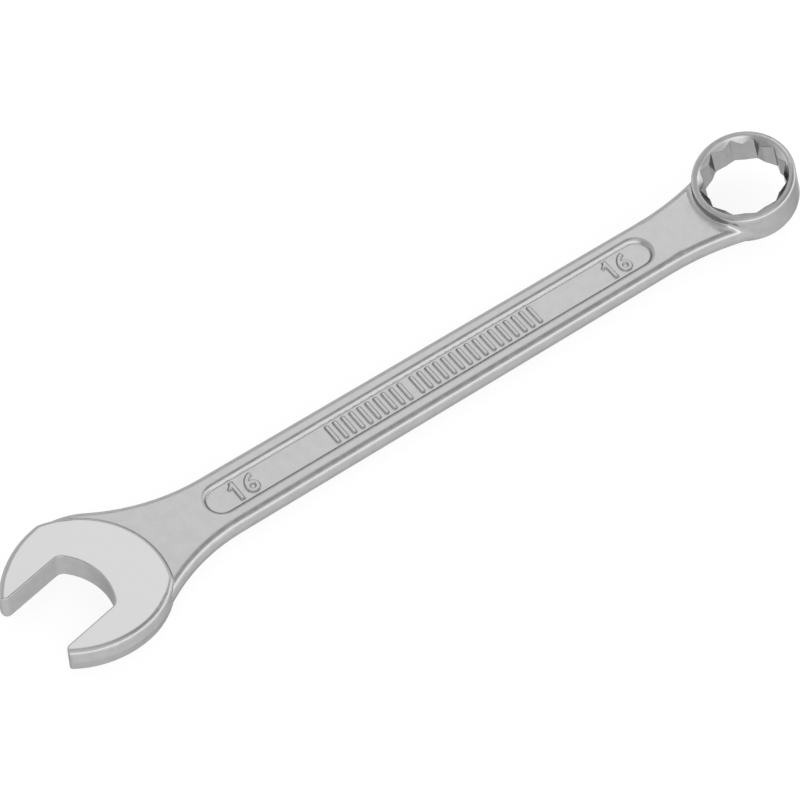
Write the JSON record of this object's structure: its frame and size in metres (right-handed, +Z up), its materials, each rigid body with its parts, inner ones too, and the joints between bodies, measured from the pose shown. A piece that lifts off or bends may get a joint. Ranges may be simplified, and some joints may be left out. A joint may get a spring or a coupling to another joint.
{
  "type": "combination wrench",
  "caption": "Combination wrench, 16 mm: a turned open-end jaw and a tilted twelve-point ring joined by a flat shank with a sunken panel on both faces.",
  "frame": {"origin": "on the surface the wrench rests on, below the middle of its overall length and on the centre line of its shank", "axes": "+X along the shank from the open end to the ring end; +Y across the shank; +Z up, square to the shank's broad faces, on the side the ring is raised to"},
  "size_m": [0.1938, 0.0329, 0.0142],
  "materials": {
    "plated_steel": "satin chrome plate over forged steel, polished on the faces of the open end"
  },
  "bodies": {
    "root": {"wrench_forging": "plated_steel"}
  },
  "joints": []
}
